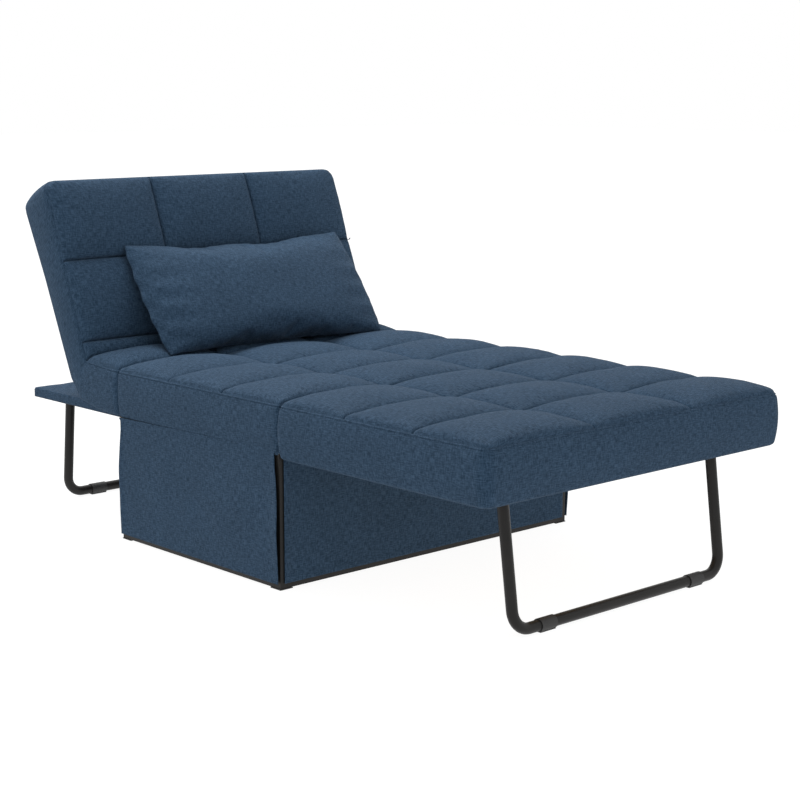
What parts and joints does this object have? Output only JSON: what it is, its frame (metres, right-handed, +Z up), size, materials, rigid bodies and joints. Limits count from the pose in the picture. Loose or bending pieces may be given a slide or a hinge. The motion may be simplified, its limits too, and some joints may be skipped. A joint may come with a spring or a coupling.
{
  "type": "convertible futon sofa bed",
  "caption": "Convertible futon sofa bed with a skirted box base, tufted cushions, a reclining backrest, a fold-over foot section, folding U-shaped legs and a loose pillow.",
  "frame": {"origin": "on the floor under the middle of the bounding box", "axes": "-Y towards the foot end (the front), +Y behind the backrest, +X to the right as seen from the foot end, +Z up"},
  "size_m": [0.95, 1.7345, 0.869],
  "materials": {
    "blue_fabric": "matte",
    "black_steel": "satin",
    "zinc_steel": "satin",
    "black_plastic": "matte",
    "plywood": "matte"
  },
  "bodies": {
    "base": {"base_rail_front": "black_steel", "base_rail_left": "black_steel", "base_rail_rear": "black_steel", "base_rail_right": "black_steel", "corner_glide_front_left": "black_plastic", "corner_glide_front_right": "black_plastic", "corner_glide_rear_left": "black_plastic", "corner_glide_rear_right": "black_plastic", "corner_post_front_left": "black_steel", "corner_post_front_right": "black_steel", "corner_post_rear_left": "black_steel", "corner_post_rear_right": "black_steel", "fold_hinge_base_leaf_left": "black_steel", "fold_hinge_base_leaf_right": "black_steel", "front_panel": "blue_fabric", "rear_cross_rail": "black_steel", "rear_cushion": "blue_fabric", "rear_deck": "blue_fabric", "rear_end_rail": "black_steel", "rear_leg_bracket_left": "black_steel", "rear_leg_bracket_right": "black_steel", "rear_panel": "blue_fabric", "rear_side_rail_left": "black_steel", "rear_side_rail_right": "black_steel", "recline_hinge_base_left": "zinc_steel", "recline_hinge_base_right": "zinc_steel", "seat_cushion": "blue_fabric", "seat_deck": "plywood", "skirt_left": "blue_fabric", "skirt_right": "blue_fabric", "top_rail_front": "black_steel", "top_rail_left": "black_steel", "top_rail_rear": "black_steel", "top_rail_right": "black_steel"},
    "backrest": {"backrest_back_panel": "blue_fabric", "backrest_cushion": "blue_fabric", "backrest_frame": "black_steel", "recline_hinge_arm_left": "zinc_steel", "recline_hinge_arm_right": "zinc_steel"},
    "pillow": {"pillow": "blue_fabric"},
    "front_section": {"fold_hinge_front_leaf_left": "black_steel", "fold_hinge_front_leaf_right": "black_steel", "front_cushion": "blue_fabric", "front_deck": "plywood", "front_end_rail": "black_steel", "front_inner_rail": "black_steel", "front_leg_bracket_left": "black_steel", "front_leg_bracket_right": "black_steel", "front_side_rail_left": "black_steel", "front_side_rail_right": "black_steel"},
    "front_leg": {"front_foot_clip_left": "black_plastic", "front_foot_clip_right": "black_plastic", "front_leg_bolt_left": "zinc_steel", "front_leg_bolt_right": "zinc_steel", "front_leg_tube": "black_steel"},
    "rear_leg": {"rear_foot_clip_left": "black_plastic", "rear_foot_clip_right": "black_plastic", "rear_leg_bolt_left": "zinc_steel", "rear_leg_bolt_right": "zinc_steel", "rear_leg_tube": "black_steel"}
  },
  "joints": [
    {"name": "backrest_recline", "type": "hinge", "parent": "base", "child": "backrest", "pos_m": [0, 0.5438, 0.412], "axis": [-1, 0, 0], "range_deg": [0, 69.6]},
    {"name": "pillow_lean", "type": "hinge", "parent": "base", "child": "pillow", "pos_m": [0, 0.4463, 0.442], "axis": [-1, 0, 0], "range_deg": [0, 51.5]},
    {"name": "front_section_fold", "type": "hinge", "parent": "base", "child": "front_section", "pos_m": [0, -0.2322, 0.4215], "axis": [-1, 0, 0], "range_deg": [0, 150]},
    {"name": "front_leg_fold", "type": "hinge", "parent": "front_section", "child": "front_leg", "pos_m": [0, -0.7802, 0.2945], "axis": [1, 0, 0], "range_deg": [0, 97.9]},
    {"name": "rear_leg_fold", "type": "hinge", "parent": "base", "child": "rear_leg", "pos_m": [0, 0.8243, 0.2945], "axis": [-1, 0, 0], "range_deg": [0, 96]}
  ],
  "couplings": [
    {"joint": "pillow_lean", "follows": "backrest_recline", "ratio": 0.7385}
  ]
}
